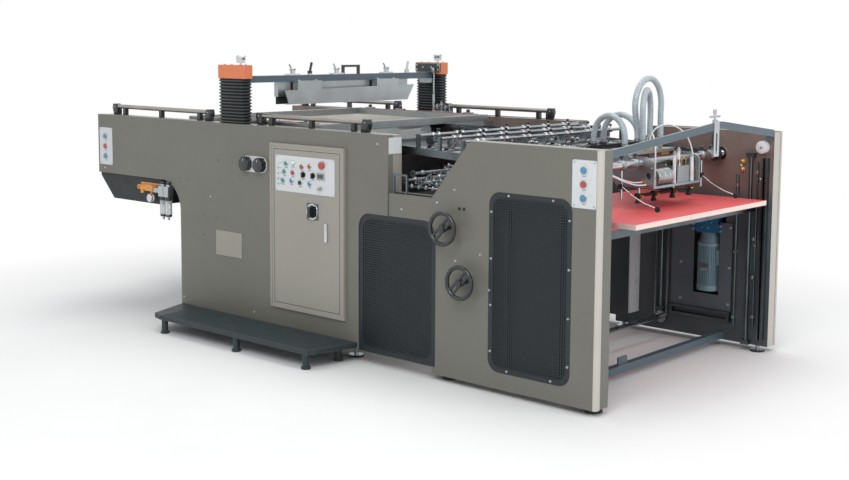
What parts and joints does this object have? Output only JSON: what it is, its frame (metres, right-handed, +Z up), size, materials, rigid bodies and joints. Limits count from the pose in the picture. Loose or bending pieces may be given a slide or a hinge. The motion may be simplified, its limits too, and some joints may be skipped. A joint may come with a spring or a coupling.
{
  "type": "screen printing machine",
  "caption": "Automatic stop-cylinder screen printing press: side frames, reciprocating screen, squeegee bridge on bellows posts, sheet feeder with pile lift, belt delivery and control door.",
  "frame": {"origin": "on the floor under the middle of the machine's outline", "axes": "+X from the delivery end to the feeder end, +Y away from the operator's side, +Z up"},
  "size_m": [3.95, 2.1449, 1.65],
  "materials": {
    "frame_iron": "painted satin",
    "frame_iron_far": "painted satin",
    "side_paint": "satin",
    "dark_paint": "matt",
    "screw_steel": "satin",
    "machined_steel": "satin",
    "door_paint": "satin",
    "plate_white": "satin",
    "step_paint": "matt",
    "bellows_black": "matt",
    "aluminium_head": "satin",
    "hose_vinyl": "satin",
    "drive_blue": "painted satin",
    "blue_grey_paint": "satin",
    "valve_mixed": "satin",
    "bright_steel": "bright",
    "orange_paint": "satin",
    "knob_black": "gloss",
    "mesh_cloth": "woven",
    "board_red": "gloss",
    "handwheel_black": "gloss",
    "button_green": "gloss",
    "button_black": "gloss",
    "button_red": "gloss",
    "button_blue": "gloss"
  },
  "bodies": {
    "machine": {"near_side_frame": "frame_iron", "far_side_frame": "frame_iron_far", "near_covers": "side_paint", "far_covers": "side_paint", "vent_grilles": "dark_paint", "cover_screws": "screw_steel", "cross_members": "frame_iron", "levelling_feet": "machined_steel", "control_cabinet": "door_paint", "side_plates": "plate_white", "step_platform": "step_paint", "machine_guides": "machined_steel", "column_bellows": "bellows_black", "feed_table": "machined_steel", "feeder_head": "aluminium_head", "feeder_hoses": "hose_vinyl", "pile_lift_frame": "machined_steel", "gear_motor": "drive_blue", "feeder_top_bar": "blue_grey_paint", "delivery_table": "dark_paint", "air_service_unit": "valve_mixed", "handrails": "bright_steel"},
    "squeegee_bridge": {"lift_heads": "orange_paint", "squeegee_beam": "blue_grey_paint", "squeegee": "aluminium_head", "flood_bar": "bright_steel"},
    "clamp_lever_near": {"clamp_lever_near": "knob_black"},
    "clamp_lever_far": {"clamp_lever_far": "knob_black"},
    "screen_carriage": {"screen_frame": "aluminium_head", "screen_mesh": "mesh_cloth"},
    "impression_cylinder": {"impression_cylinder": "bright_steel"},
    "pile_board": {"pile_board": "board_red"},
    "pile_shaft": {"pile_shaft": "machined_steel"},
    "sucker_bar": {"sucker_bar": "machined_steel"},
    "pile_stop": {"pile_stop": "plate_white"},
    "delivery_roller": {"delivery_roller": "machined_steel"},
    "handwheel_upper": {"handwheel_upper": "handwheel_black"},
    "handwheel_lower": {"handwheel_lower": "handwheel_black"},
    "air_knob_left": {"air_knob_left": "knob_black"},
    "air_knob_right": {"air_knob_right": "knob_black"},
    "cabinet_door": {"cabinet_door": "door_paint", "control_plate": "plate_white"},
    "start_button_1": {"start_button_1": "button_green"},
    "start_button_2": {"start_button_2": "button_green"},
    "start_button_3": {"start_button_3": "button_black"},
    "stop_button_1": {"stop_button_1": "button_red"},
    "stop_button_2": {"stop_button_2": "button_red"},
    "stop_button_3": {"stop_button_3": "button_black"},
    "emergency_stop": {"emergency_stop": "button_red"},
    "selector_left": {"selector_left": "button_black"},
    "selector_right": {"selector_right": "button_black"},
    "key_switch": {"key_switch": "bright_steel"},
    "main_switch": {"main_switch": "button_black"},
    "door_handle": {"door_handle": "knob_black"},
    "feeder_run_button": {"feeder_run_button": "button_blue"},
    "feeder_stop_button": {"feeder_stop_button": "button_red"},
    "feeder_inch_button": {"feeder_inch_button": "button_blue"},
    "delivery_run_button": {"delivery_run_button": "button_blue"},
    "delivery_stop_button": {"delivery_stop_button": "button_red"},
    "delivery_inch_button": {"delivery_inch_button": "button_blue"}
  },
  "joints": [
    {"name": "squeegee_lift", "type": "slide", "parent": "machine", "child": "squeegee_bridge", "axis": [0, 0, 1], "range_m": [-0.127, 0], "deforming": ["column_bellows"]},
    {"name": "clamp_lever_near_turn", "type": "hinge", "parent": "squeegee_bridge", "child": "clamp_lever_near", "pos_m": [-0.6245, -0.1175, 1.547], "axis": [0, 0, 1], "range_deg": [-170, 170]},
    {"name": "clamp_lever_far_turn", "type": "hinge", "parent": "squeegee_bridge", "child": "clamp_lever_far", "pos_m": [-0.6245, 0.7725, 1.547], "axis": [0, 0, 1], "range_deg": [-170, 170]},
    {"name": "screen_travel", "type": "slide", "parent": "machine", "child": "screen_carriage", "axis": [1, 0, 0], "range_m": [-0.4, 0.4]},
    {"name": "cylinder_turn", "type": "hinge", "parent": "machine", "child": "impression_cylinder", "pos_m": [-0.6245, 0, 0.9515], "axis": [0, 1, 0], "range_deg": [-85, 85]},
    {"name": "pile_lift", "type": "slide", "parent": "machine", "child": "pile_board", "axis": [0, 0, 1], "range_m": [-0.6, 0]},
    {"name": "pile_shaft_turn", "type": "hinge", "parent": "machine", "child": "pile_shaft", "pos_m": [1.285, 0, 0.112], "axis": [0, 1, 0], "range_deg": [0, 955]},
    {"name": "sucker_lift", "type": "slide", "parent": "machine", "child": "sucker_bar", "axis": [0, 0, 1], "range_m": [0, 0.03]},
    {"name": "pile_stop_height", "type": "slide", "parent": "machine", "child": "pile_stop", "axis": [0, 0, 1], "range_m": [0, 0.06]},
    {"name": "delivery_roller_turn", "type": "hinge", "parent": "machine", "child": "delivery_roller", "pos_m": [-1.915, 0, 1.11], "axis": [0, 1, 0], "continuous": true},
    {"name": "handwheel_upper_turn", "type": "hinge", "parent": "machine", "child": "handwheel_upper", "pos_m": [1.077, -0.8135, 0.806], "axis": [0, 1, 0], "continuous": true},
    {"name": "handwheel_lower_turn", "type": "hinge", "parent": "machine", "child": "handwheel_lower", "pos_m": [1.192, -0.8135, 0.545], "axis": [0, 1, 0], "continuous": true},
    {"name": "air_knob_left_turn", "type": "hinge", "parent": "machine", "child": "air_knob_left", "pos_m": [-0.471, -0.7775, 1.025], "axis": [0, 1, 0], "range_deg": [-135, 135]},
    {"name": "air_knob_right_turn", "type": "hinge", "parent": "machine", "child": "air_knob_right", "pos_m": [-0.347, -0.7775, 1.025], "axis": [0, 1, 0], "range_deg": [-135, 135]},
    {"name": "door_swing", "type": "hinge", "parent": "machine", "child": "cabinet_door", "pos_m": [-0.2653, -0.7638, 0.689], "axis": [0, 0, -1], "range_deg": [0, 110]},
    {"name": "start_button_1_press", "type": "slide", "parent": "cabinet_door", "child": "start_button_1", "axis": [0, 1, 0], "range_m": [0, 0.004], "stiffness_N_per_m": 500, "springref_m": -0.003},
    {"name": "start_button_2_press", "type": "slide", "parent": "cabinet_door", "child": "start_button_2", "axis": [0, 1, 0], "range_m": [0, 0.004], "stiffness_N_per_m": 500, "springref_m": -0.003},
    {"name": "start_button_3_press", "type": "slide", "parent": "cabinet_door", "child": "start_button_3", "axis": [0, 1, 0], "range_m": [0, 0.004], "stiffness_N_per_m": 500, "springref_m": -0.003},
    {"name": "stop_button_1_press", "type": "slide", "parent": "cabinet_door", "child": "stop_button_1", "axis": [0, 1, 0], "range_m": [0, 0.004], "stiffness_N_per_m": 500, "springref_m": -0.003},
    {"name": "stop_button_2_press", "type": "slide", "parent": "cabinet_door", "child": "stop_button_2", "axis": [0, 1, 0], "range_m": [0, 0.004], "stiffness_N_per_m": 500, "springref_m": -0.003},
    {"name": "stop_button_3_press", "type": "slide", "parent": "cabinet_door", "child": "stop_button_3", "axis": [0, 1, 0], "range_m": [0, 0.004], "stiffness_N_per_m": 500, "springref_m": -0.003},
    {"name": "emergency_stop_press", "type": "slide", "parent": "cabinet_door", "child": "emergency_stop", "axis": [0, 1, 0], "range_m": [0, 0.005], "stiffness_N_per_m": 600, "springref_m": -0.003},
    {"name": "selector_left_turn", "type": "hinge", "parent": "cabinet_door", "child": "selector_left", "pos_m": [0.023, -0.7815, 0.997], "axis": [0, -1, 0], "range_deg": [-45, 45]},
    {"name": "selector_right_turn", "type": "hinge", "parent": "cabinet_door", "child": "selector_right", "pos_m": [0.101, -0.7815, 0.997], "axis": [0, -1, 0], "range_deg": [-45, 45]},
    {"name": "key_switch_turn", "type": "hinge", "parent": "cabinet_door", "child": "key_switch", "pos_m": [0.163, -0.7815, 0.929], "axis": [0, -1, 0], "range_deg": [0, 90]},
    {"name": "main_switch_turn", "type": "hinge", "parent": "cabinet_door", "child": "main_switch", "pos_m": [0.093, -0.7815, 0.796], "axis": [0, -1, 0], "range_deg": [0, 90]},
    {"name": "door_handle_turn", "type": "hinge", "parent": "cabinet_door", "child": "door_handle", "pos_m": [0.204, -0.7815, 0.688], "axis": [0, -1, 0], "range_deg": [0, 90]},
    {"name": "feeder_run_press", "type": "slide", "parent": "machine", "child": "feeder_run_button", "axis": [0, 1, 0], "range_m": [0, 0.004], "stiffness_N_per_m": 500, "springref_m": -0.003},
    {"name": "feeder_stop_press", "type": "slide", "parent": "machine", "child": "feeder_stop_button", "axis": [0, 1, 0], "range_m": [0, 0.004], "stiffness_N_per_m": 500, "springref_m": -0.003},
    {"name": "feeder_inch_press", "type": "slide", "parent": "machine", "child": "feeder_inch_button", "axis": [0, 1, 0], "range_m": [0, 0.004], "stiffness_N_per_m": 500, "springref_m": -0.003},
    {"name": "delivery_run_press", "type": "slide", "parent": "machine", "child": "delivery_run_button", "axis": [0, 1, 0], "range_m": [0, 0.004], "stiffness_N_per_m": 500, "springref_m": -0.003},
    {"name": "delivery_stop_press", "type": "slide", "parent": "machine", "child": "delivery_stop_button", "axis": [0, 1, 0], "range_m": [0, 0.004], "stiffness_N_per_m": 500, "springref_m": -0.003},
    {"name": "delivery_inch_press", "type": "slide", "parent": "machine", "child": "delivery_inch_button", "axis": [0, 1, 0], "range_m": [0, 0.004], "stiffness_N_per_m": 500, "springref_m": -0.003}
  ],
  "couplings": [
    {"joint": "cylinder_turn", "follows": "screen_travel", "rad_per_m": 3.69},
    {"joint": "pile_shaft_turn", "follows": "pile_lift", "rad_per_m": -27.778}
  ]
}
